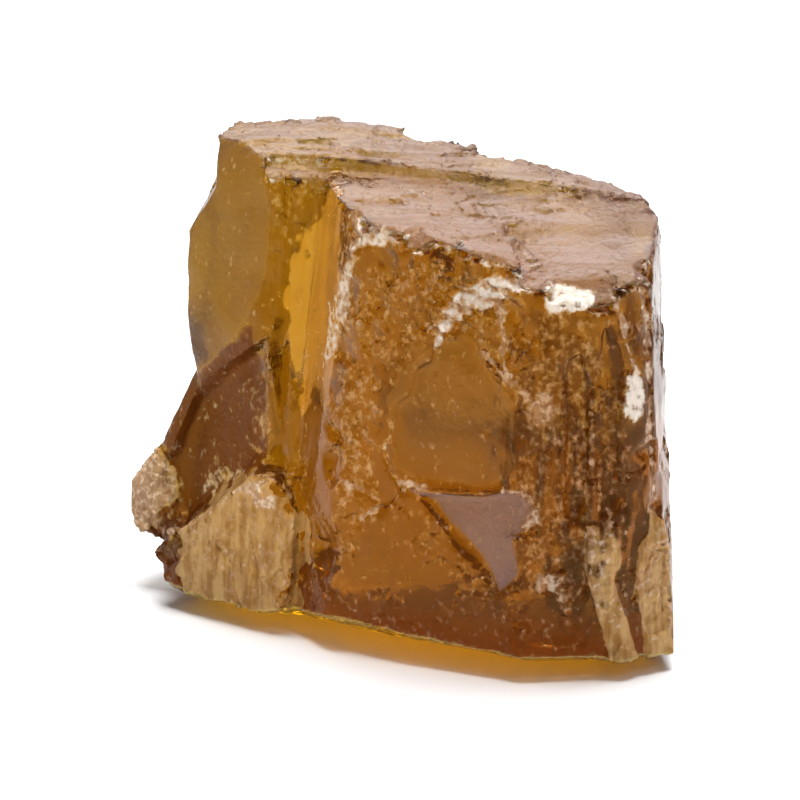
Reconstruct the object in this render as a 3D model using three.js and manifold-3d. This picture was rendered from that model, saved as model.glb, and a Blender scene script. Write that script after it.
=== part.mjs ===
// Raw fluorite: one chunk of honey-coloured fluorite, as broken from the vein, lying on a flat cleavage face.
// Millimetres, +Z up, the broad front faces -Y. The origin is the centre of the bounding box, on the resting
// face.
import * as THREE from "three";
import { ConvexGeometry } from "three/addons/geometries/ConvexGeometry.js";
import { mergeVertices } from "three/addons/utils/BufferGeometryUtils.js";
import Module from "manifold-3d";

// Driving dimensions. The chunk is shaped in rough millimetres and brought to these sizes at the end.
const WIDTH = 42; // along X, from the knob to the right corner
const DEPTH = 32.4; // along Y
const HEIGHT = 37.2; // from the resting face to the left rear corner of the top
const TERRACE_DEPTH = 0.55; // the flat terrace in the front face
const SCAR_DEPTH = 0.4; // the broad scar above the terrace, where one large flake came off
const FLUTE_DEPTH = 0.45; // the flutes of the foot
const STEP_DEPTH = 0.35; // one cleavage step on a broad face
const CHIP_DEPTH = 0.45; // one chip off an edge
const REST = -0.8; // the level of the resting face in the rough millimetres
const REACH = 3; // how far a cutter stands out of the face it cuts

const wasm = await Module();
wasm.setup();

// --- Solids -------------------------------------------------------------------------------------------

// A closed three.js geometry as a manifold-3d solid.
function solidOf(geometry) {
  const bare = new THREE.BufferGeometry().setAttribute("position", geometry.getAttribute("position"));
  if (geometry.index) bare.setIndex(geometry.index);
  const merged = mergeVertices(bare, 1e-4);
  return new wasm.Manifold(
    new wasm.Mesh({
      numProp: 3,
      vertProperties: merged.attributes.position.array,
      triVerts: new Uint32Array(merged.index.array),
    }),
  );
}

// A manifold-3d solid as a three.js geometry.
function geometryOf(solid) {
  const mesh = solid.getMesh();
  return new THREE.BufferGeometry()
    .setAttribute("position", new THREE.BufferAttribute(new Float32Array(mesh.vertProperties), 3))
    .setIndex(new THREE.BufferAttribute(new Uint32Array(mesh.triVerts), 1));
}

// The convex lump that spans these corners.
function lump(corners) {
  return solidOf(new ConvexGeometry(corners.map((corner) => new THREE.Vector3(...corner))));
}

// A point moved along a direction.
function moved(point, direction, distance) {
  return point.map((value, axis) => value + direction[axis] * distance);
}

// The lump that spans these corners and the same corners moved by `shift`: a cutter that is open on one side.
function sweep(corners, shift) {
  return lump([...corners, ...corners.map((corner) => moved(corner, shift, 1))]);
}

// A cutter that takes off all that lies beyond an inner corner, along three cleavage directions.
function cornerCutter(corner, directions) {
  const corners = [corner];
  for (const direction of directions) corners.push(...corners.map((point) => moved(point, direction, 30)));
  return lump(corners);
}

// --- Breaks -------------------------------------------------------------------------------------------

// The frame of a face: its origin, with +X along the face, +Y up the face and +Z out of it.
function faceFrame(origin, outward, up = [0, 0, 1]) {
  const z = new THREE.Vector3(...outward).normalize();
  const x = new THREE.Vector3(...up).cross(z).normalize();
  const y = z.clone().cross(x);
  return new THREE.Matrix4().makeBasis(x, y, z).setPosition(...origin);
}

// A frame moved within its face, and tipped: `tip` leans it towards the top, `sway` towards the right.
function onFace(frame, [x, y], tip = 0, sway = 0) {
  return frame
    .clone()
    .multiply(new THREE.Matrix4().makeTranslation(x, y, 0))
    .multiply(new THREE.Matrix4().makeRotationX(-tip))
    .multiply(new THREE.Matrix4().makeRotationY(sway));
}

// A cutter that takes a flake off a face: its outline is drawn on the face, and its floor lies `depth` below.
function flake(frame, outline, depth) {
  const shape = new THREE.Shape(outline.map(([x, y]) => new THREE.Vector2(x, y)));
  const block = new THREE.ExtrudeGeometry(shape, { depth: depth + REACH, bevelEnabled: false });
  return solidOf(block.translate(0, 0, -depth).applyMatrix4(frame));
}

// A repeatable source of numbers between the two ends of a range.
function dice(seed) {
  let state = seed;
  return ([low, high]) => {
    state = (state * 48271) % 2147483647;
    return low + ((high - low) * state) / 2147483647;
  };
}

// A six-sided outline whose sides keep to the three cleavage directions of a face.
function cleavageOutline([width, height], turn, roll) {
  const reaches = Array.from({ length: 6 }, () => roll([0.5, 1]));
  return reaches.map((reach, k) => {
    const angle = turn + (k * Math.PI) / 3;
    const along = (reaches[(k + 1) % 6] - reach / 2) / Math.sin(Math.PI / 3);
    const x = Math.cos(angle) * reach - Math.sin(angle) * along;
    const y = Math.sin(angle) * reach + Math.cos(angle) * along;
    return [x * width, y * height];
  });
}

// One shallow cleavage step at the origin of a frame. Its floor is tipped a little, to run out on one side.
function step(frame, [width, height], turn, roll) {
  const scale = roll([0.35, 1]);
  const lean = roll([0.05, 0.13]);
  const towards = roll([0, 2 * Math.PI]);
  const place = onFace(frame, [0, 0], lean * Math.cos(towards), lean * Math.sin(towards));
  const outline = cleavageOutline([width * scale, height * scale], turn + roll([-0.06, 0.06]), roll);
  return flake(place, outline, STEP_DEPTH * roll([0, 0.7]));
}

// Steps scattered over one flat face.
function steps(frame, { across, up, count, size, turn, seed }) {
  const roll = dice(seed);
  return Array.from({ length: count }, () => step(onFace(frame, [roll(across), roll(up)]), size, turn, roll));
}

// Steps laid on whatever faces are met when looking at the chunk from a side or from above.
function stepsSeenFrom(from, solid, { spread, count, size, turn, seed }) {
  const roll = dice(seed);
  const target = new THREE.Mesh(geometryOf(solid), new THREE.MeshBasicMaterial());
  const sight = new THREE.Vector3(...from).negate().normalize();
  const up = Math.abs(sight.z) > 0.7 ? [0, 1, 0] : [0, 0, 1];
  const caster = new THREE.Raycaster();
  const cutters = [];
  for (let k = 0; k < count; k += 1) {
    caster.set(new THREE.Vector3(...spread.map(roll)).addScaledVector(sight, -80), sight);
    const [hit] = caster.intersectObject(target);
    if (!hit) continue;
    const frame = faceFrame(hit.point.toArray(), hit.face.normal.toArray(), up);
    cutters.push(step(frame, size, turn, roll));
  }
  return cutters;
}

// Chips off an edge between two points; `outward` points half way between the two faces that meet there.
function chips(from, to, outward, { count, length, seed }) {
  const roll = dice(seed);
  const edge = to.map((value, axis) => value - from[axis]);
  return Array.from({ length: count }, () => {
    const point = moved(from, edge, roll([0, 1]));
    const lean = outward.map((value) => value + roll([-0.28, 0.28]));
    const outline = cleavageOutline([2.4, length * roll([0.3, 1])], Math.PI / 6, roll);
    return flake(faceFrame(point, lean, edge), outline, CHIP_DEPTH * roll([0.5, 1]));
  });
}

// --- The masses that the chunk is grown from ----------------------------------------------------------

// The main mass: a block with a narrow flat foot, steep sides and a nearly level top.
const block = lump([
  // resting face, well behind the front rim, which hangs clear of the table
  [18.4, -8.6, REST], [10.6, -10.4, REST], [-2.6, -3.4, REST], [-7, -0.4, REST], [-12.5, 4.6, REST],
  [-14.2, 9, REST], [-12, 14, REST], [-2, 16, REST], [11, 14, REST], [18.5, 4, REST],
  // lower rim
  [20.8, -12.2, 0.5], [17, -14.6, 1], [9, -15.4, 1.2], [-6, -8.2, 2],
  // widest part, at the back
  [-13, 15.5, 9], [0, 17, 8], [13, 15, 7], [20.6, 5, 8], [20.9, -9, 7],
  // top rim
  [19.6, -5, 34], [18.4, -12.2, 31.6], [16.5, -13.7, 31.4], [9.4, -14.1, 33], [-3.1, -7.5, 34.1],
  [-8.4, 1, 36.2], [-12.5, 11, 36.6], [-4.5, 12.5, 36], [0.3, 12, 35.4], [8.6, 9, 34.2], [13.5, 6, 33.8],
]);

// The smooth left cheek, which the groove parts from the main mass.
const cheek = lump([
  [-14, 7.5, 37], [-9.5, 0.2, 36.3], [-9, -0.8, 30], [-9.4, -1.4, 24], [-10.8, -1.2, 21],
  [-14.9, 5.2, 33], [-16.3, 5.2, 29], [-16.5, 4.6, 23], [-15.9, 4.6, 17],
  [-5, 6, 36], [-12.5, 12, 36.4], [-15.5, 11, 22], [-8, 8, 14], [-5, 3, 22],
]);

// Below the cheek the side runs out to the left, down to the knob.
const flank = lump([
  [-15.9, 5, 18], [-10.4, -0.4, 22], [-9, -1, 14], [-12.6, 0.6, 8], [-17.2, 4.6, 4],
  [-20.2, 7.4, 8], [-14, 12, 17], [-18.4, 12, 7], [-6, 6, 20], [-6, 6, 3],
]);
const knob = lump([
  [-21.2, 7.6, 7.4], [-21, 6.6, 5.8], [-20.3, 6.2, 4], [-18, 4, 3.4], [-17.6, 4.6, 8.6], [-19.4, 6.2, 10],
  [-19.4, 11, 8.6], [-18.4, 11, 3.6], [-12, 10, 12], [-12, 12, 3],
]);

// The foot that fans out from the left corner.
const foot = lump([
  [-12.6, -2.2, 11.8], [-9.8, -3.4, 11.6], [-16.8, 1, 7.6], [-19.2, 2.2, 3.4], [-18.4, 1.6, 1.2],
  [-15.2, -1, 0.8], [-11.4, -4, 0.9], [-9.2, -4.8, 1.2], [-8.4, -5.2, 4], [-8, -4.6, 9.4],
  [-14.4, 4.4, REST], [-11, 1.6, REST], [-6, 0, REST], [-6, 4, 12], [-6, 6, REST], [-14, 9, REST],
  [-16.5, 9, 6],
]);

let body = block.add(cheek).add(flank).add(knob).add(foot);

// --- The top ------------------------------------------------------------------------------------------

const upAndAway = [0, 0, 12];

// The top broke in two levels: a plateau at the back, and a slightly lower ledge along the front. The riser
// between them is highest at the left and fades out to the right.
const ledge = [
  [-10.4, 2.2, 35.1], [0, 1.4, 34.45], [6, 0.4, 34], [11, -0.8, 33.85], [15, -4, 33.75], [22, -5.4, 34],
  [-10.4, -12, 33.7], [9, -16, 32.4], [22, -16, 31],
];
body = body.subtract(sweep(ledge, upAndAway));

// The right of the ledge falls away to the front as one smooth bevel.
const bevel = [[8.4, -9, 32.4], [11, -5.2, 33.1], [22, -4.8, 33.4], [22, -17, 29], [9.6, -17, 29.4]];
body = body.subtract(sweep(bevel, upAndAway));

// The dip in the rear rim.
const dip = [[5, 16, 33.4], [8, 9, 33.1], [10.4, 6, 32.9], [13, 8.6, 32.4], [12, 16, 30]];
body = body.subtract(sweep(dip, upAndAway));

// --- The left side ------------------------------------------------------------------------------------

// The groove runs down between the cheek and the ridge of the main mass, and ends on the top of the foot.
const groove = lump([
  [-9.5, -0.4, 44], [-6, 0.8, 44], [-2.7, -7.9, 44], [-2.9, -13, 44], [-10.5, -13, 44],
  [-9.5, -0.4, 34], [-6, 0.8, 34], [-3.2, -7.2, 34],
  [-9.7, -1.8, 11.8], [-8, -1.6, 11.4], [-6.3, -7.4, 11.6], [-6.3, -13, 11.6], [-10.5, -13, 12],
]);
body = body.subtract(groove);

// A rough recess runs from the lower end of the cheek down to the gap between the knob and the foot.
const recess = lump([
  [-10.2, -1.2, 22.4], [-15.8, 4.4, 16.6], [-18.9, 6.2, 8.2], [-17, 3.2, 5.2], [-10.2, -1.6, 12.4],
  [-10.4, 0.4, 21], [-15.4, 5.6, 15], [-17.6, 6.2, 8], [-16.4, 5, 6], [-10.4, 0, 13],
  [-13.4, -8, 23], [-20, -6, 16], [-23, -6, 8.2], [-20, -8, 5.2], [-12, -8, 12.4],
]);
body = body.subtract(recess);

// The outer edge of the cheek is nipped in below its top corner.
const nip = [[-14.1, 38], [-14.1, 32.8], [-16.5, 28.6], [-20, 28.6], [-20, 38]];
body = body.subtract(sweep(nip.map(([x, z]) => [x, -6, z]), [0, 22, 0]));

// Flutes fan out from the apex of the foot down to its rim.
const footOut = [-0.5, -0.82, 0.28];
const apex = [-11.5, -2.7, 11.4];
const rim = [
  [-19.3, 2.6, 3.4], [-18.5, 1.6, 1.2], [-16.6, 0, 0.9], [-14.9, -1.3, 0.9],
  [-13.4, -2.4, 0.9], [-12, -3.6, 1], [-10.4, -4.4, 1],
];
for (const [k, start] of rim.slice(0, -1).entries()) {
  const end = rim[k + 1];
  const middle = start.map((value, axis) => 0.42 * value + 0.58 * end[axis]);
  const crests = [start, end].flatMap((point) => [moved(point, footOut, 0.3), moved(point, footOut, 4)]);
  const valley = [moved(apex, footOut, -0.05), moved(middle, footOut, -FLUTE_DEPTH)];
  body = body.subtract(lump([...crests, ...valley, moved(apex, footOut, 3)]));
}

// --- The back -----------------------------------------------------------------------------------------

// Large broken steps: an inner corner each, and the three directions in which everything beyond it came away.
const bigSteps = [
  [[3.2, 13.2, 11.5], [1, -0.35, 0.03], [0.1, 1, 0.16], [0.12, -0.24, 1]],
  [[-4, 13.4, 20], [-1, -0.12, 0.08], [-0.1, 1, 0.1], [-0.2, -0.06, 1]],
  [[19.2, -3, 15], [1, 0.1, 0.12], [-0.02, 1, 0.1], [-0.06, 0.1, 1]],
  [[-13.6, 10.4, 19], [-1, 0.2, 0.1], [0.16, 1, 0.1], [0.1, 0.1, 1]],
];
for (const [corner, ...directions] of bigSteps) body = body.subtract(cornerCutter(corner, directions));

// --- The front ----------------------------------------------------------------------------------------

// The front is two broad faces that meet in a soft upright ridge.
const frontLeft = faceFrame([3, -11.6, 17], [-0.436, -0.898, 0.059]);
const frontRight = faceFrame([13, -14.4, 16], [0.099, -0.994, 0.039]);

// The flat terrace in the middle of the front, tipped a little upwards.
const terrace = [
  [-5, 2.4], [-3.8, 1.3], [-1.9, -0.9], [1.2, -3.3], [2.4, -4.4], [3.4, -2],
  [2.4, 0.1], [4.7, 0.7], [4.9, 1.8], [3.9, 3.9], [0.1, 3],
];
body = body.subtract(flake(onFace(frontLeft, [3.2, -6.5], 0.09), terrace, TERRACE_DEPTH));

// The broad scar over the terrace, with a ragged upper end.
const scar = [
  [-3.6, -4.2], [-2.2, -3.4], [1, -3.2], [4.6, -2.8], [5.6, -0.6], [5.2, 3.2], [4.3, 4], [4.5, 6.2],
  [3.2, 6.6], [2.7, 9], [1, 9.8], [0.3, 8.4], [-1.2, 8.6], [-1.5, 6.6], [-2.7, 5.8], [-3.3, 3.6],
  [-4.5, 2.6], [-4.4, -1],
];
body = body.subtract(flake(onFace(frontLeft, [0.6, 0], 0.02, 0.012), scar, SCAR_DEPTH));

// Upright slots in the right-hand face.
const slots = [
  [0.55, [[-0.7, -3.6], [0.1, -4.2], [1.1, -2.8], [1.3, 6.4], [0.6, 9.2], [-0.4, 8.4]]],
  [0.4, [[-4.4, -2.6], [-2.6, -3], [-2.2, 3.4], [-2.7, 7], [-3.9, 5.8]]],
  [0.3, [[1.9, -4], [3.3, -3.6], [3.5, 7.4], [2.4, 11.4], [1.7, 5]]],
];
for (const [depth, outline] of slots) body = body.subtract(flake(frontRight, outline, depth));

// The face sinks on both sides of the pale column at its lower right, which stands proud.
const besideColumn = [
  [0.4, [[-3.4, -13.6], [1.2, -14], [1.5, -4.8], [0.2, -5.6], [-1.4, -4.6], [-2.6, -7]]],
  [0.5, [[4, -14.4], [5.4, -14.6], [5.2, -3.8], [4.3, -4.8]]],
];
for (const [depth, outline] of besideColumn) body = body.subtract(flake(frontRight, outline, depth));

// The bright facet under the top edge.
const brow = faceFrame([13.6, -14, 29.4], [0.06, -0.8, 0.6]);
body = body.subtract(flake(brow, [[-2.6, -3], [2.2, -3], [2.7, 3], [-2, 3]], 0.35));

// --- Steps and chips all over -------------------------------------------------------------------------

const breaks = [
  // front, left of the soft ridge
  ...steps(frontLeft, { across: [-7, 6.5], up: [6, 15], count: 10, size: [2.4, 3.4], turn: 0.12, seed: 11 }),
  ...steps(frontLeft, { across: [-8, -3.4], up: [-13, 1], count: 4, size: [2, 3.4], turn: 0.12, seed: 23 }),
  // front, right of the soft ridge
  ...steps(frontRight, {
    across: [-3.6, 4.8], up: [-13, 14], count: 12, size: [1.2, 4], turn: 0.04, seed: 37,
  }),
  // right side, back and left side
  ...stepsSeenFrom([1, 0.1, 0.1], body, {
    spread: [[0, 0], [-11, 9], [2, 32]], count: 16, size: [5, 8], turn: 0.2, seed: 41,
  }),
  ...stepsSeenFrom([0.3, 1, 0.1], body, {
    spread: [[-14, 16], [0, 0], [2, 34]], count: 26, size: [7, 8], turn: 0.3, seed: 53,
  }),
  ...stepsSeenFrom([-1, 1.2, 0.1], body, {
    spread: [[-4, 4], [-2, 10], [3, 34]], count: 10, size: [4, 6], turn: 0.1, seed: 67,
  }),
  // top
  ...stepsSeenFrom([0, 0, 1], body, {
    spread: [[-13, 18], [-10, 11], [0, 0]], count: 24, size: [8, 3], turn: 0.1, seed: 71,
  }),
  // the ridge beside the groove
  ...chips([-3.1, -7.3, 34], [-6, -8, 3], [-0.85, -0.5, 0], { count: 9, length: 3, seed: 83 }),
  // the front edge of the top
  ...chips([-3, -7.8, 33.8], [9, -14.2, 32], [-0.3, -0.6, 0.8], { count: 8, length: 2.6, seed: 97 }),
  // the right corner, from the top down, and the right edge of the top
  ...chips([18.8, -12.2, 30], [20, -12.6, 3], [0.7, -0.7, 0], { count: 12, length: 3.4, seed: 101 }),
  ...chips([19.5, -5, 33.8], [18.4, -12, 30.6], [0.8, 0, 0.6], { count: 4, length: 2.2, seed: 103 }),
  // the rear edge of the top
  ...chips([-3, 12.4, 35.8], [13.5, 5.6, 33.6], [0.3, 0.6, 0.7], { count: 6, length: 3, seed: 107 }),
  // the soft ridge of the front
  ...chips([9.3, -14.6, 31], [9, -15.3, 2], [-0.2, -0.98, 0], { count: 7, length: 3.2, seed: 109 }),
];
body = breaks.reduce((solid, cutter) => solid.subtract(cutter), body);

// The left rear corner of the top is snapped off flat.
const snapped = faceFrame([-12, 7.6, 36.25], [-0.08, 0.05, 1], [0, 1, 0]);
body = body.subtract(flake(snapped, [[-7, -8], [7, -8], [7, 8], [-7, 8]], 0));

// Crumbs that the breaks leave loose fall away.
const pieces = body.decompose();
const whole = pieces.reduce((largest, piece) => (piece.volume() > largest.volume() ? piece : largest));

// --- The finished chunk -------------------------------------------------------------------------------

const { min, max } = whole.boundingBox();
const centre = [(min[0] + max[0]) / 2, (min[1] + max[1]) / 2, min[2]];
const fit = [WIDTH / (max[0] - min[0]), DEPTH / (max[1] - min[1]), HEIGHT / (max[2] - min[2])];

const chunk = new THREE.Mesh(
  geometryOf(whole).translate(-centre[0], -centre[1], -centre[2]).scale(...fit),
  new THREE.MeshStandardMaterial({ color: 0xb8762e, roughness: 0.35, transparent: true, opacity: 0.9 }),
);
chunk.name = "fluorite_chunk";

const fluorite = new THREE.Group();
fluorite.add(chunk);
export default fluorite;
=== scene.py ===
import math

import bpy
import numpy as np
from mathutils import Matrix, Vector, noise
from mathutils.kdtree import KDTree


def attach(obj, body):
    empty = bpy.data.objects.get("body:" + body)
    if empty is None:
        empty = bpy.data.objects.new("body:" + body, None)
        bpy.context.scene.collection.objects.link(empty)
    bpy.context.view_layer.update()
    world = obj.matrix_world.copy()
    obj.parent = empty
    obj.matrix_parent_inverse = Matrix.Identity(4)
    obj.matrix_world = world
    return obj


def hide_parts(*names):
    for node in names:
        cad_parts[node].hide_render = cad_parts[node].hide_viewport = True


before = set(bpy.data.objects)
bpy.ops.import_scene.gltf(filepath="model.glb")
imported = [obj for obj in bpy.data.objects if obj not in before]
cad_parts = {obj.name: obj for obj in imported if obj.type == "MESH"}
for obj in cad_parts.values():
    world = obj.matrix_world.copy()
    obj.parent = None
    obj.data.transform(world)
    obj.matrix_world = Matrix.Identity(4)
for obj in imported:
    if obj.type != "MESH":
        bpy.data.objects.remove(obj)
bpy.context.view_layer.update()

# ---- Fluorite chunk --------------------------------------------------------------------------------------
# One broken piece of honey-amber fluorite, see-through inside, that lies on its flat resting face. It split
# along its cleavage planes into glassy faces, and it is frosted pinkish white wherever it broke in fine
# steps: along its edges, over its top and round the foot.
MM = 0.001
SAME_CORNER = 0.002 * MM
NET_DEPTH = 8  # the net over the chunk has about 2 to this power of cells along its longest side
MOST_TRIANGLES = 190000

bpy.ops.object.select_all(action="DESELECT")
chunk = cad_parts["fluorite_chunk"].copy()
chunk.data = chunk.data.copy()
chunk.name = chunk.data.name = "fluorite"
bpy.context.collection.objects.link(chunk)
chunk.select_set(True)
bpy.context.view_layer.objects.active = chunk
bpy.ops.object.mode_set(mode="EDIT")
bpy.ops.mesh.select_all(action="SELECT")
bpy.ops.mesh.remove_doubles(threshold=SAME_CORNER)
bpy.ops.object.mode_set(mode="OBJECT")

net = chunk.modifiers.new("net", "REMESH")
net.mode = "SHARP"
net.octree_depth = NET_DEPTH
net.scale = 0.99
net.sharpness = 1.0
bpy.ops.object.modifier_apply(modifier="net")
mesh = chunk.data


def corners(mesh):
    """The mesh's corners in millimetres."""
    found = np.zeros(len(mesh.vertices) * 3)
    mesh.vertices.foreach_get("co", found)
    return found.reshape(-1, 3) / MM


def place(mesh, places):
    """Moves the mesh's corners to these places in millimetres."""
    mesh.vertices.foreach_set("co", (places * MM).ravel())
    mesh.update()


def outward(mesh):
    """The direction that the surface faces at each corner."""
    normals = np.zeros(len(mesh.vertices) * 3)
    mesh.vertex_normals.foreach_get("vector", normals)
    return normals.reshape(-1, 3)


def ramp(values, low, high):
    """0 below low, 1 above high, and a smooth rise between."""
    share = np.clip((values - low) / (high - low), 0, 1)
    return share * share * (3 - 2 * share)


APART = np.array([7.31, 3.17, 5.93])  # how far the pattern moves from one seed to the next


def blotches(places, size, seed, stretch=(1, 1, 1), octaves=1):
    """Smooth random patches of about this size in millimetres, from 0 to 1, drawn out along each axis."""
    shift = Vector(seed * APART)
    scaled = places / (size * np.array(stretch))
    if octaves == 1:
        values = [noise.noise(Vector(p) + shift) for p in scaled]
    else:
        values = [noise.fractal(Vector(p) + shift, 0.9, 2.1, octaves) for p in scaled]
    return np.clip(np.array(values) * 0.5 + 0.5, 0, 1)


def wander(places):
    """A random number from -1 to 1 at each corner, alike among neighbours, that makes borders uneven."""
    return 2 * blotches(places, 1.3, 23, octaves=3) - 1


def lot(cells, salt):
    """A number from 0 to 1 drawn by lot for each cell."""
    value = np.sin(np.round(cells, 3) @ np.array([12.9898, 78.233, 37.719]) + salt) * 43758.5453
    return value - np.floor(value)


def facets(places, size, seed, stretch=(1, 1, 1), step=0.5, tilt=0.6):
    """Heights of a surface that broke into flat facets of about this size, each at its own level and tilt."""
    scaled = places / (size * np.array(stretch)) + seed * APART
    cells = np.array([noise.voronoi(Vector(p))[1][0] for p in scaled])
    lean = np.stack([lot(cells, salt) - 0.5 for salt in (1, 2, 3)], axis=1)
    level = lot(cells, 4) - 0.5
    return step * level + tilt * np.einsum("ij,ij->i", scaled - cells, lean)


def spread(mesh, values, rounds):
    """The values averaged with those of their neighbours, over and over."""
    edges = np.zeros(len(mesh.edges) * 2, dtype=np.int64)
    mesh.edges.foreach_get("vertices", edges)
    one, two = edges[0::2], edges[1::2]
    size = len(values)
    count = np.bincount(one, minlength=size) + np.bincount(two, minlength=size)
    columns = values.reshape(size, -1).astype(float)
    for _ in range(rounds):
        mean = np.empty_like(columns)
        for k in range(columns.shape[1]):
            total = np.bincount(one, columns[two, k], size) + np.bincount(two, columns[one, k], size)
            mean[:, k] = total / count
        columns = 0.4 * columns + 0.6 * mean
    return columns.reshape(values.shape)


# Where each kind of surface lies, in millimetres. An oval has a centre, half sizes across, through and up,
# the direction it is turned to, and how ragged and how soft its border is.
LEFT_FACE = math.atan2(-0.436, 0.898)
RIGHT_FACE = math.atan2(0.1, 0.995)
CHEEK_FACE = math.atan2(-0.7, 0.72)
OVALS = {
    # The gold hollow between the cheek and the front.
    "groove": ((-6.6, -4, 25.5), (3.2, 5, 11.5), LEFT_FACE, 0.15),
    # The groove's dusky lower end.
    "groove_end": ((-7.2, -5.5, 15.3), (2.6, 4, 4.5), LEFT_FACE, 0.2),
    # The face under the cheek; its dark red-brown is painted shade.
    "flank": ((-14.5, 2.5, 16), (5.8, 4, 9.6), CHEEK_FACE, 0.3),
    # The fluted straw foot at the left.
    "foot": ((-12.3, -2.6, 6.2), (6.4, 4.6, 6.4), LEFT_FACE, 0.3),
    # The hollow behind the foot; its dark red-brown is painted shade.
    "nook": ((-17.6, 4.2, 7), (3, 4, 4.5), LEFT_FACE, 0.3),
    # The rough knob at the far left.
    "knob": ((-20, 6, 8.3), (2.8, 4, 3.6), CHEEK_FACE, 0.2),
    # The darker right third of the front.
    "shade": ((12.2, -15, 18), (6, 3, 13.5), RIGHT_FACE, 0.4, 0.5),
    # The pale slope at the front right of the top.
    "bevel": ((15.2, -8.5, 33.5), (6, 5, 2.8), 0, 0.2),
    # The step across the top.
    "riser": ((3, -0.2, 35.4), (14, 1.8, 1.6), -0.08, 0.3),
    # Where that step has less frost.
    "bare_riser": ((-4, -0.4, 35.6), (6, 1.4, 1.4), -0.1, 0.9, 0.8),
    # The speckled upper front.
    "upper": ((1.5, -11.5, 27.5), (9, 3.5, 6.5), LEFT_FACE, 0.4, 0.5),
    # The frosted left edge of the front.
    "left_edge": ((-3.4, -8.6, 18), (2.6, 3, 8.5), LEFT_FACE, 0.4, 0.5),
    # The dusky lower front.
    "lower": ((3, -12.5, 8), (10, 4, 4.5), LEFT_FACE, 0.4, 0.6),
}
# An area has how ragged and how soft its border is, and an outline drawn over the front, across and up.
AREAS = {
    # The smooth tan face at the left.
    "cheek": (0.15, 0.4, (
        (-16.5, 38), (-10.6, 36.8), (-9.8, 33.7), (-9.9, 29.6), (-10.2, 27.2), (-11.7, 23.8), (-14.3, 20),
        (-16, 17.7), (-18, 16.5), (-22, 24), (-22, 32),
    )),
    # A frosted band on the flank.
    "band": (0.5, 0.5, (
        (-12.2, 18.8), (-10.7, 19.9), (-10.1, 16.9), (-9.9, 12.5), (-11, 12.2), (-11.6, 15.4),
    )),
    # The white edge between the groove and the front.
    "ridge": (0.4, 0.4, (
        (-3.8, 31.9), (-2.9, 33), (-3.4, 29.8), (-3.7, 26.8), (-4.1, 24.6), (-5.1, 22.5), (-5.9, 20.8),
        (-5.7, 23.5), (-5.2, 26.5), (-4.5, 29.1),
    )),
    # The pale patch at the head of that edge.
    "cap": (0.3, 0.3, ((-3, 34), (-0.9, 34.1), (0.7, 33.7), (-0.9, 32.5), (-2.5, 32.1), (-3.2, 32.1))),
    # The small white stair under the brim.
    "stair": (0.5, 0.5, (
        (3.8, 29.4), (5.5, 30.6), (6.8, 31.6), (8.9, 31.8), (10, 30.9), (8.1, 30), (7.6, 28.7), (6.5, 29.1),
        (5.5, 28.6), (4.8, 27.9), (3.9, 26.6), (2.9, 24.9), (2.7, 26.2), (2, 27), (3.4, 28),
    )),
    # Frost that spills over the brim.
    "spill": (0.6, 0.5, ((9.2, 33), (10.5, 32.5), (11.4, 31.7), (9.8, 31.5), (9.4, 32.2))),
    # A painted highlight: the white patch at the upper right.
    "brow": (0.25, 0.3, ((11, 31.1), (12.7, 31), (15, 30.4), (14.6, 29.4), (12.7, 29), (11.1, 28.7))),
    # The dark slot beside the right corner.
    "slot": (0.1, 0.2, ((16.5, 31), (17.6, 31), (18.3, 27.5), (18.4, 25), (17.6, 25.6))),
    # A painted highlight: the white stroke under the slot.
    "streak": (0.3, 0.4, ((17.1, 24), (18.3, 24), (18.6, 21.8), (18.2, 20), (17.1, 20.5), (16.7, 21.7))),
    # The smooth olive hollow in the middle.
    "scar": (0.3, 0.6, (
        (-0.9, 20.8), (0.1, 23.1), (2, 25.1), (3.9, 26.6), (5.5, 26.5), (6.8, 23.9), (8.2, 22.8),
        (9.5, 20.8), (9.5, 17.5), (9, 16.2), (6.6, 15), (3.9, 14.8), (0.9, 14.8), (-0.4, 15.4), (-0.7, 18),
    )),
    # Frosted grains at the right of the scar.
    "cluster": (0.5, 0.5, (
        (9.4, 21.2), (10.1, 22.5), (11.4, 23.2), (12.1, 21.5), (11.5, 20.4), (10.1, 20.2),
    )),
    # The flat step under the scar; its purple-grey is a painted reflection of the room.
    "terrace": (0.08, 0.15, (
        (0.6, 14.1), (2.8, 13.2), (3.9, 11.9), (5, 11), (6.6, 9.4), (7.7, 7.2), (9.1, 8.6), (8.6, 11.4),
        (10.5, 12.8), (10.2, 14), (9, 15), (8.2, 15), (6.6, 14.1), (5, 13.9), (3.1, 14),
    )),
    # The crumbled spot at the terrace's lower right.
    "sugar": (0.6, 0.4, (
        (9.9, 8.3), (11.5, 8.9), (13, 8.1), (13.4, 5.9), (12.6, 5.3), (11.8, 6.8), (10.5, 7.1),
    )),
    # The fluted straw strip near the right corner.
    "column": (0.15, 0.2, (
        (14, 12.4), (16.7, 12.3), (16.9, 9), (16.3, 8.1), (17.4, 4.5), (18.6, 0.4), (16.3, 0.4),
        (14.7, 7.1), (14, 9.2),
    )),
    # The fluted straw foot of the right corner.
    "corner": (0.15, 0.25, (
        (19, 13.2), (20.4, 11.6), (21.5, 11), (21.5, 0.2), (18.8, 0.2), (18.5, 4.9), (17.9, 6.8),
        (18.2, 10.4), (19, 11.3),
    )),
}
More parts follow.
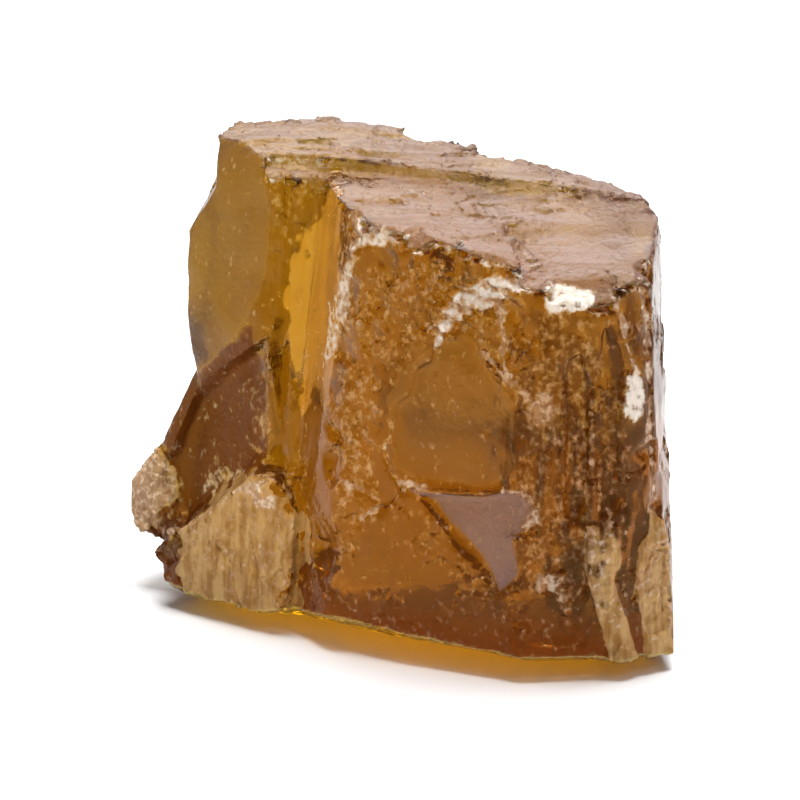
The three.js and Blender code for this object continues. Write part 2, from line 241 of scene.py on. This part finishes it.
# A seam has one or more broken lines over the front, each with its width and its points across and up.
SEAMS = {
    # The frosted upper edge of the foot.
    "foot_cap": [(1.1, ((-15, 9), (-14.4, 10), (-13.4, 10.7), (-11, 11.4), (-10.4, 10.6)))],
    # A white crack at the left of the scar.
    "crack": [(0.36, ((-0.5, 19), (-0.8, 17.6), (-1, 16.4), (-0.6, 15.1), (0.4, 13.9)))],
    # A broad scratch on the lower front.
    "scratch": [(0.42, ((-4.9, 14), (-3.2, 13.5), (-1.2, 12.6), (-1.9, 12), (-2.8, 11.1)))],
    # Frost that runs down from the stair.
    "drop": [(0.5, ((7.5, 29.5), (7.9, 27.7), (7.8, 25.5), (8.3, 24.1)))],
    # The frosted arc round the scar.
    "arc": [(0.45, ((6.2, 26.3), (6.3, 25.5), (7.4, 24.5), (8.2, 23.9), (9, 23.4), (10, 22)))],
    # The frosted ends of the terrace.
    "lip": [
        (0.55, ((0.1, 14.4), (1.4, 14.3), (3, 13.9))),
        (0.6, ((8, 15), (9.6, 14.8), (10.3, 13.9), (10.4, 12.9), (9.5, 12.2))),
    ],
    # The frosted lines down the right corner, painted whiter as glints along the edge.
    "corner_line": [
        (0.5, ((15.9, 30.5), (16.7, 28.5), (17.2, 26.2), (17.9, 23.9))),
        (0.4, (
            (18, 31.2), (18.4, 29.1), (18.7, 26.2), (18.9, 23.6), (18.9, 18.7), (19.2, 15.9), (19.4, 13.5),
        )),
    ],
}


def zones(places, facing, uneven):
    """Where each kind of surface lies, as numbers from 0 to 1 at every corner of the mesh."""
    height = places[:, 2]
    in_front = ramp(-facing[:, 1], 0.1, 0.3)

    def oval(centre, half_sizes, turn, ragged, soft=0.25):
        """1 inside an oval patch that is turned about Z."""
        across = np.array([math.cos(turn), math.sin(turn), 0])
        through = np.array([-math.sin(turn), math.cos(turn), 0])
        away = places - np.array(centre)
        sides = away @ across, away @ through, away[:, 2]
        share = np.stack([side / half for side, half in zip(sides, half_sizes)], axis=1)
        return 1 - ramp(np.linalg.norm(share, axis=1) + ragged * uneven, 1.1 - soft, 1.1)

    def gap(start, end):
        """How far each corner lies from a straight line over the front."""
        start, run = np.array(start), np.array(end) - np.array(start)
        away = places[:, [0, 2]] - start
        share = np.clip(away @ run / (run @ run), 0, 1)
        return np.linalg.norm(away - share[:, None] * run, axis=1)

    def seam(width, points):
        """1 along a broken line over the front."""
        nearest = np.min([gap(start, end) for start, end in zip(points, points[1:])], axis=0)
        nearest += width * (0.7 * uneven + 0.15)
        return (1 - ramp(nearest, 0.3 * width, width)) * in_front

    def area(ragged, soft, outline):
        """1 inside an outline drawn over the front."""
        sides = list(zip(outline, outline[1:] + outline[:1]))
        nearest = np.min([gap(start, end) for start, end in sides], axis=0)
        inside = np.zeros(len(places), dtype=bool)
        for (x, z), (next_x, next_z) in sides:
            if z != next_z:
                side = x + (height - z) * (next_x - x) / (next_z - z)
                inside ^= ((z > height) != (next_z > height)) & (places[:, 0] < side)
        return ramp(np.where(inside, nearest, -nearest) + ragged * uneven, -soft, soft) * in_front

    found = {name: oval(*shape) for name, shape in OVALS.items()}
    found |= {name: area(*shape) for name, shape in AREAS.items()}
    found |= {name: np.max([seam(*line) for line in lines], axis=0) for name, lines in SEAMS.items()}
    found["riser"] *= ramp(facing[:, 2], -0.1, 0.1)
    found["flank"] *= 1 - found["cheek"]
    found["top"] = ramp(facing[:, 2], 0.35, 0.6) * ramp(height, 26.8, 29.8)
    undercut = ramp(-height, -4, -2) * ramp(-facing[:, 1], -0.1, 0.3)
    found["under"] = ramp(-facing[:, 2], 0.3, 0.7) * np.maximum(ramp(-height, -0.7, -0.2), undercut)
    return found


def tooth(places, uneven):
    """How far each corner lies up its own tread of the small stair, from 0 to 1."""
    treads = (places[:, 2] + 0.35 * places[:, 0]) / 1.4 + 0.3 * uneven
    return treads - np.floor(treads)


def upright_share(facing):
    """1 where the surface stands upright, and 0 where it lies flat."""
    return 1 - ramp(np.abs(facing[:, 2]), 0.45, 0.75)


# The solid's edges are eased a little, and its broad faces are made plain.
places = corners(mesh)
low, high = places.min(axis=0), places.max(axis=0)
places = spread(mesh, places, 5)
place(mesh, places)
facing = spread(mesh, outward(mesh), 12)
facing /= np.linalg.norm(facing, axis=1)[:, None]
rim = ramp(np.einsum("ij,ij->i", places - spread(mesh, places, 40), facing), 0.08, 0.35)
uneven = wander(places)
zone = zones(places, facing, uneven)
plain = 0.85 * ramp(-facing[:, 1], 0.3, 0.6) * (1 - rim) * (1 - zone["column"]) * (1 - zone["corner"])
plain = np.clip(plain + zone["riser"], 0, 1)
places = places + (spread(mesh, places, 22) - places) * plain[:, None]
place(mesh, places)

# How crumbled the surface is, from 0 on a glassy cleavage face to 1 in fine rubble.
brim = ramp(spread(mesh, zone["top"], 60) + 0.2 * uneven, 0.1, 0.4) * (1 - zone["top"])
brim *= ramp(-facing[:, 1], 0.1, 0.3)
brim *= (1 - zone["groove"]) * (1 - zone["cheek"]) * (1 - zone["riser"])
worn = ramp(blotches(places, 4.5, 2, octaves=3), 0.45, 0.66)
crumble = 0.06 + 0.5 * worn + 0.8 * rim + 0.2 * zone["top"] + 0.7 * brim
CRUMBLED = {
    "upper": 0.3,
    "left_edge": 0.35,
    "lower": 0.1,
    "shade": 0.12,
    "knob": 0.7,
    "stair": 0.2,
    "foot": 0.3,
    "sugar": 0.9,
    "column": 0.2,
    "corner": 0.3,
    "foot_cap": 0.4,
    "spill": 0.7,
}
GLASSY = {"terrace": 1, "scar": 0.7, "cheek": 0.95, "bevel": 0.8, "groove": 0.8, "flank": 0.6}
for name, share in CRUMBLED.items():
    crumble += share * zone[name]
for name, share in GLASSY.items():
    crumble *= 1 - share * zone[name]
crumble = np.clip(crumble, 0, 1)


def broken(heights, amount, least):
    """Heights of a broken surface: sharp where it is crumbled, and soft and low where it is smooth."""
    soft = spread(mesh, heights, 8)
    return amount * (least + (1 - least) * crumble) * (soft + (heights - soft) * ramp(crumble, 0.1, 0.4))


# The relief, in millimetres: long waves, three sizes of broken facets, and each zone's own steps and flutes.
upright = upright_share(facing)
rise = 0.45 * (blotches(places, 7, 1, octaves=3) - 0.5)
large = np.where(upright > 0.5, facets(places, 2.6, 3, (1, 1, 1.8)), facets(places, 2.4, 4, (2.4, 0.8, 1)))
rise += broken(large, 0.45, 0.12)
rise += broken(facets(places, 1.0, 5, (1, 1, 1.3), tilt=1), 0.34, 0.05)
rise += broken(facets(places, 0.45, 6, tilt=1), 0.16, 0.03)
rise += 0.4 * zone["stair"] * (0.5 - tooth(places, uneven))
rise += 0.4 * zone["shade"] * (blotches(places, 0.9, 7, (1, 1, 9)) - 0.5)
rise += 0.3 * (zone["foot"] + zone["corner"]) * (blotches(places, 1.6, 8, (1, 1, 3), octaves=3) - 0.5)
rise -= 0.9 * brim * ramp(blotches(places, 1.6, 11, octaves=3), 0.4, 0.62)
rise += 0.16 * zone["scar"] * (blotches(places, 1.3, 9, (1, 1, 5)) - 0.5)
rise += 0.2 * zone["groove"] * (blotches(places, 1.0, 10, (1, 1, 9)) - 0.5)
PROUD = {"knob": 0.3, "arc": 0.12, "column": 0.15, "crack": -0.16, "scratch": -0.1, "corner_line": -0.12}
for name, amount in PROUD.items():
    rise += amount * zone[name]
rise *= ramp(places[:, 2], 0.2, 1.2)
places = np.clip(places + outward(mesh) * rise[:, None], low, high)
place(mesh, places)

# The skin is thinned to fewer triangles, and each new corner takes over what its nearest old one had.
bulge = spread(mesh, np.einsum("ij,ij->i", places - spread(mesh, places, 10), facing), 1)
dense = KDTree(len(places))
for index, point in enumerate(places):
    dense.insert(point, index)
dense.balance()
thin = chunk.modifiers.new("thin", "DECIMATE")
thin.ratio = MOST_TRIANGLES / sum(len(face.vertices) - 2 for face in mesh.polygons)
bpy.ops.object.modifier_apply(modifier="thin")
mesh = chunk.data
places = np.clip(corners(mesh), low, high)
place(mesh, places)
nearest = np.array([dense.find(Vector(p))[1] for p in places])
bulge, crumble, brim, facing = bulge[nearest], crumble[nearest], brim[nearest], facing[nearest]

# Where the skin is frosted pink, and where it is white: white frost, with painted highlights and glints at
# the upper right and down the right corner.
uneven = wander(places)
zone = zones(places, facing, uneven)
upright = upright_share(facing)
edge = ramp(bulge, 0.035, 0.15)
# The lower front, where orange is painted as the glow of light that comes down through the stone.
base = ramp(-places[:, 2], -7.5, -1) * upright * ramp(-facing[:, 1], -0.3, 0.2)
polished = [zone["terrace"] * (1 - zone["lip"]), zone["scar"] * (1 - zone["lip"])]
clean = np.max([zone["groove"], zone["cheek"], *polished, 0.7 * zone["flank"]], axis=0)
FROSTED = {
    "top": 1,
    "riser": 1,
    "stair": 1,
    "knob": 1,
    "scratch": 1,
    "ridge": 1,
    "cap": 1,
    "foot_cap": 1,
    "drop": 1,
    "spill": 1,
    "corner_line": 1,
    "cluster": 0.9,
    "arc": 0.9,
    "lip": 0.9,
    "band": 0.75,
    "sugar": 0.7,
    "left_edge": 0.5,
    "upper": 0.4,
    "column": 0.4,
    "shade": 0.38,
    "corner": 0.35,
    "foot": 0.3,
    "flank": 0.2,
}
# How white each kind of surface is. Most of it is white frost; the patch at the upper right and the stroke
# under the slot are painted highlights, and the corner lines are frost with painted glints.
WHITE_AND_HIGHLIT_SHARES = {
    "brow": 1,
    "streak": 0.9,
    "cap": 0.75,
    "ridge": 0.65,
    "crack": 0.55,
    "lip": 0.5,
    "foot_cap": 0.5,
    "corner_line": 0.5,
    "scratch": 0.4,
    "sugar": 0.36,
    "drop": 0.35,
    "spill": 0.35,
    "knob": 0.3,
    "column": 0.22,
    "corner": 0.15,
    "foot": 0.08,
}
pink = [edge, brim, 0.5 * crumble] + [share * zone[name] for name, share in FROSTED.items()]
frost = np.max(pink, axis=0) * (1 - 0.8 * clean * (1 - edge))
frost *= (1 - 0.5 * zone["bare_riser"]) * (1 - 0.85 * base)
# On the small stair, the upper part of each tread, under the step above, is painted less white: painted shade
# in the stair's gaps.
pale = [0.7 * brim, zone["stair"] * (0.85 - 0.35 * ramp(tooth(places, uneven), 0.5, 0.7))]
pale += [share * zone[name] for name, share in WHITE_AND_HIGHLIT_SHARES.items()]

# The masks that the material reads, one number for each corner of the mesh.
MASKS = {
    "frost": np.clip(frost, 0, 1),
    "white": np.max(pale, axis=0),
    "gold": zone["groove"] * (1 - zone["groove_end"]),
    "tan": zone["cheek"],
    # Dark red-brown painted as shade under the cheek and in the hollow behind the foot.
    "red_shade": np.maximum(zone["flank"], zone["nook"]) * (1 - zone["foot"]),
    "straw": np.max([zone["foot"], zone["column"], zone["corner"], zone["knob"]], axis=0),
    "umber": np.maximum(zone["shade"], zone["slot"]),
    "dusk": np.maximum(zone["lower"], zone["groove_end"]) * (1 - zone["terrace"]),
    # The terrace and half the bevel carry a painted reflection of the room in purple-grey.
    "plum_reflection": np.maximum(zone["terrace"] * (1 - 0.5 * zone["lip"]), 0.5 * zone["bevel"]),
    "lilac": np.max([zone["top"], zone["bevel"], zone["riser"]], axis=0),
    "olive": zone["scar"] * (1 - zone["terrace"]),
    "base": base,
    "under": zone["under"],
    "rear": ramp(facing[:, 1], 0.0, 0.5) * upright,
}
for name, values in MASKS.items():
    attribute = mesh.attributes.new(name, "FLOAT", "POINT")
    attribute.data.foreach_set("value", values.astype(np.float32))

stone = bpy.data.materials.new("fluorite")
stone.use_nodes = True
tree = stone.node_tree
tree.nodes.clear()
link = tree.links.new


def node(kind, **values):
    """A new node of the stone's material, with these values on its sockets or its settings."""
    made = tree.nodes.new(kind)
    for key, value in values.items():
        if key in made.inputs:
            made.inputs[key].default_value = value
        else:
            setattr(made, key, value)
    return made


object_place = node("ShaderNodeTexCoord").outputs["Object"]


def pattern(size, detail, stretch=(1, 1, 1)):
    """Random spots of about this size in millimetres, from 0 to 1, drawn out along each axis."""
    fitted = node("ShaderNodeMapping", vector_type="POINT", Scale=[1 / s for s in stretch])
    link(object_place, fitted.inputs["Vector"])
    made = node("ShaderNodeTexNoise", Scale=1 / (size * MM), Detail=detail, Roughness=0.5)
    link(fitted.outputs["Vector"], made.inputs["Vector"])
    return made.outputs["Fac"]


def mask(name):
    """Where a kind of surface lies, from 0 to 1."""
    return node("ShaderNodeAttribute", attribute_name=name).outputs["Fac"]


def worked(operation, one, two):
    """Two values, each a socket or a number, put through one step of arithmetic."""
    made = node("ShaderNodeMath", operation=operation)
    for socket, value in zip(made.inputs, (one, two)):
        if isinstance(value, (int, float)):
            socket.default_value = value
        else:
            link(value, socket)
    return made.outputs["Value"]


def times(one, two):
    return worked("MULTIPLY", one, two)


def larger(one, two):
    return worked("MAXIMUM", one, two)


def smaller(one, two):
    return worked("MINIMUM", one, two)


def blend(one, two, share):
    """This share of one value, and the rest of another."""
    return worked("ADD", times(one, share), times(two, 1 - share))


def between(value, low, high, to_low=0.0, to_high=1.0):
    """A smooth change from to_low to to_high, as the value goes from low to high."""
    made = node("ShaderNodeMapRange", interpolation_type="SMOOTHSTEP")
    for name, end in (("From Min", low), ("From Max", high), ("To Min", to_low), ("To Max", to_high)):
        made.inputs[name].default_value = end
    link(value, made.inputs["Value"])
    return made.outputs["Result"]


def frayed(value, spots, amount, low=0.35, high=0.65):
    """A mask whose soft border is broken up by a pattern."""
    moved = worked("ADD", value, times(worked("SUBTRACT", spots, 0.5), amount))
    return between(moved, low, high)


def dyed(colour, dye, share):
    """A colour covered by another, as far as the share goes."""
    made = node("ShaderNodeMix", data_type="RGBA")
    share_socket, colour_socket, dye_socket = made.inputs[0], made.inputs[6], made.inputs[7]
    for socket, value in ((colour_socket, colour), (dye_socket, dye)):
        if isinstance(value, tuple):
            socket.default_value = (*value, 1)
        else:
            link(value, socket)
    link(share, share_socket)
    return made.outputs[2]


flecks = pattern(0.5, 3)
specks = pattern(0.6, 2, (1, 1, 1.3))
crumbs = pattern(1.4, 3, (1, 1, 1.3))
clouds = pattern(4.5, 2, (0.7, 0.7, 1.8))
threads = pattern(0.9, 2, (0.7, 0.7, 7))
grooves = pattern(0.45, 2, (7, 1.2, 1))
strips = pattern(1.5, 3, (3.5, 1, 1))

# The clear body and its stains, with painted light: a painted glow on the lower front, painted shade under
# the cheek and behind the foot, and a painted reflection on the terrace.
AMBER = (0.15, 0.060, 0.014)
BROWN = (0.115, 0.044, 0.009)
OLIVE = (0.20, 0.092, 0.03)
# Orange for the painted glow on the lower front.
GLOW_ORANGE = (0.20, 0.034, 0.001)
GOLD = (0.52, 0.27, 0.085)
TAN = (0.20, 0.098, 0.042)
# Dark red-brown for the painted shade under the cheek and behind the foot.
RED_SHADE = (0.10, 0.021, 0.002)
STRAW = (0.60, 0.37, 0.15)
REED = (0.34, 0.165, 0.045)
UMBER = (0.07, 0.020, 0.002)
# Purple-grey for the painted reflection on the terrace and bevel.
PLUM_REFLECTION = (0.27, 0.175, 0.17)
CLEAR = (0.80, 0.55, 0.15)
HONEY = (0.98, 0.88, 0.36)
reeds = blend(threads, crumbs, 0.5)
straw = dyed(REED, STRAW, between(reeds, 0.38, 0.6))
dark = times(mask("umber"), between(threads, 0.35, 0.6, 0.4, 1))
tint = dyed(AMBER, BROWN, between(clouds, 0.42, 0.62))
tint = dyed(tint, OLIVE, frayed(mask("olive"), crumbs, 0.5))
tint = dyed(tint, BROWN, frayed(mask("dusk"), crumbs, 0.5, 0.2, 0.8))
# Painted glow: orange on the lower front, for light that comes down through the stone.
tint = dyed(tint, GLOW_ORANGE, times(mask("base"), 0.85))
# Among these, the red-brown is painted shade under the cheek and behind the foot.
for dye, name in ((GOLD, "gold"), (TAN, "tan"), (RED_SHADE, "red_shade"), (straw, "straw")):
    tint = dyed(tint, dye, frayed(mask(name), crumbs, 0.5))
tint = dyed(tint, UMBER, frayed(dark, crumbs, 0.4, 0.2, 0.8))
# Painted reflection: purple-grey on the terrace and half the bevel.
tint = dyed(tint, PLUM_REFLECTION, mask("plum_reflection"))
tint = dyed(tint, CLEAR, times(mask("rear"), 0.6))
tint = dyed(tint, HONEY, mask("under"))

# The frost of fine steps over it: pinkish cream, with clay and lilac strips on top, and white in places,
# which is partly frost and partly painted highlight.
ROSY = (0.48, 0.29, 0.19)
CREAM = (0.76, 0.54, 0.36)
CLAY = (0.30, 0.195, 0.155)
LILAC = (0.38, 0.285, 0.275)
WHITE = (0.95, 0.86, 0.76)
frosted = frayed(mask("frost"), flecks, 1.7, 0.3, 1.1)
white_and_highlit = frayed(mask("white"), flecks, 1.5, 0.3, 1.0)
speckled = between(worked("ADD", specks, times(mask("frost"), 0.22)), 0.6, 0.82)
rosy = dyed(ROSY, CREAM, between(flecks, 0.48, 0.62))
banded = dyed(CLAY, LILAC, between(blend(grooves, strips, 0.4), 0.42, 0.56))
tint = dyed(tint, dyed(rosy, banded, mask("lilac")), times(larger(frosted, speckled), 0.8))
# White frost, with painted highlights and glints laid on in places.
tint = dyed(tint, WHITE, white_and_highlit)

# How matt each kind of surface is: the frost most, and the stained faces and those with painted glow, shade
# and reflection less.
SATIN = {"olive": 0.5, "tan": 0.45, "gold": 0.3, "red_shade": 0.8, "umber": 0.4, "base": 0.85, "plum_reflection": 0.95}
satin = times(mask("straw"), between(reeds, 0.35, 0.6, 0.55, 0.85))
for name, share in SATIN.items():
    satin = larger(satin, times(mask(name), share))
matt = larger(larger(larger(frosted, white_and_highlit), times(speckled, 0.7)), satin)

FLUORITE_IOR = 1.434
GLOSS = 0.2
GLOSS_TINT = (1.0, 0.68, 0.28, 1)
BODY_COLOUR = (0.98, 0.893, 0.0, 1)
BODY_DENSITY = 250  # for each metre that light goes through the body
GLASSY_CLEARNESS = 0.78
output = node("ShaderNodeOutputMaterial")
skin = node("ShaderNodeBsdfPrincipled", IOR=FLUORITE_IOR)
skin.inputs["Specular IOR Level"].default_value = GLOSS
skin.inputs["Specular Tint"].default_value = GLOSS_TINT
link(tint, skin.inputs["Base Color"])
link(skin.outputs["BSDF"], output.inputs["Surface"])
body = node("ShaderNodeVolumeAbsorption", Color=BODY_COLOUR, Density=BODY_DENSITY)
link(body.outputs["Volume"], output.inputs["Volume"])
clear = larger(between(matt, 0, 1, GLASSY_CLEARNESS, 0.32), times(mask("lilac"), 0.55))
clear = smaller(clear, between(white_and_highlit, 0, 1, GLASSY_CLEARNESS, 0.12))
clear = smaller(clear, between(mask("straw"), 0, 1, GLASSY_CLEARNESS, 0.2))
clear = larger(clear, times(mask("under"), 0.92))
link(clear, skin.inputs["Transmission Weight"])
link(between(matt, 0, 1, 0.2, 0.5), skin.inputs["Roughness"])
bump = node("ShaderNodeBump", Strength=0.5, Distance=0.25 * MM)
link(times(flecks, between(matt, 0, 1, 0.2, 1)), bump.inputs["Height"])
link(bump.outputs["Normal"], skin.inputs["Normal"])

mesh.materials.clear()
mesh.materials.append(stone)
bpy.ops.object.select_all(action="DESELECT")
chunk.select_set(True)
bpy.context.view_layer.objects.active = chunk
bpy.ops.object.shade_smooth_by_angle(angle=math.radians(28))
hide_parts("fluorite_chunk")
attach(chunk, "root")

# ---- Studio ----------------------------------------------------------------------------------------------
# A plain white table in an even white room, under three soft boxes: a large one overhead, one behind the
# chunk that shines through it, and a small one at the front right. The camera looks a little down on it.
FLOOR_WIDTH = 4  # metres, as are the places and widths of the lights
bpy.ops.object.select_all(action="DESELECT")
bpy.ops.mesh.primitive_plane_add(size=FLOOR_WIDTH)
floor = bpy.context.object
floor.name = "floor"
paper = bpy.data.materials.new("white_table")
paper.use_nodes = True
paper_shader = paper.node_tree.nodes["Principled BSDF"]
paper_shader.inputs["Base Color"].default_value = (0.86, 0.86, 0.87, 1)
paper_shader.inputs["Roughness"].default_value = 0.6
floor.data.materials.append(paper)

room = bpy.data.worlds.new("white_room")
bpy.context.scene.world = room
room.use_nodes = True
room.node_tree.nodes["Background"].inputs["Color"].default_value = (0.98, 0.99, 1.0, 1)
room.node_tree.nodes["Background"].inputs["Strength"].default_value = 0.2

LIT_POINT = Vector((0, 0, 0.02))
SOFT_BOXES = (
    # name, place, width, watts
    ("overhead", (0.03, 0.05, 0.55), 0.3, 5.2),
    ("behind", (0.02, 0.5, 0.42), 0.25, 2.1),
    ("front_right", (0.25, -0.35, 0.5), 0.12, 0.3),
)
for name, position, width, watts in SOFT_BOXES:
    light = bpy.data.lights.new(name, "AREA")
    light.shape = "SQUARE"
    light.size = width
    light.energy = watts
    lamp = bpy.data.objects.new(name, light)
    bpy.context.collection.objects.link(lamp)
    lamp.location = position
    lamp.rotation_euler = (LIT_POINT - Vector(position)).to_track_quat("-Z", "Y").to_euler()

AIM = Vector((0.15, -4.3, 18.8)) * MM
LIFT = math.radians(18)
DISTANCE = 0.5
camera = bpy.data.cameras.new("camera")
camera.sensor_width = 36
camera.lens = 293.6
camera.clip_start = 0.01
camera.clip_end = 20
camera_object = bpy.data.objects.new("camera", camera)
bpy.context.collection.objects.link(camera_object)
away = Vector((0, -math.cos(LIFT), math.sin(LIFT)))
camera_object.location = AIM + away * DISTANCE
camera_object.rotation_euler = (-away).to_track_quat("-Z", "Y").to_euler()
bpy.context.scene.camera = camera_object
bpy.context.scene.view_settings.view_transform = "Standard"
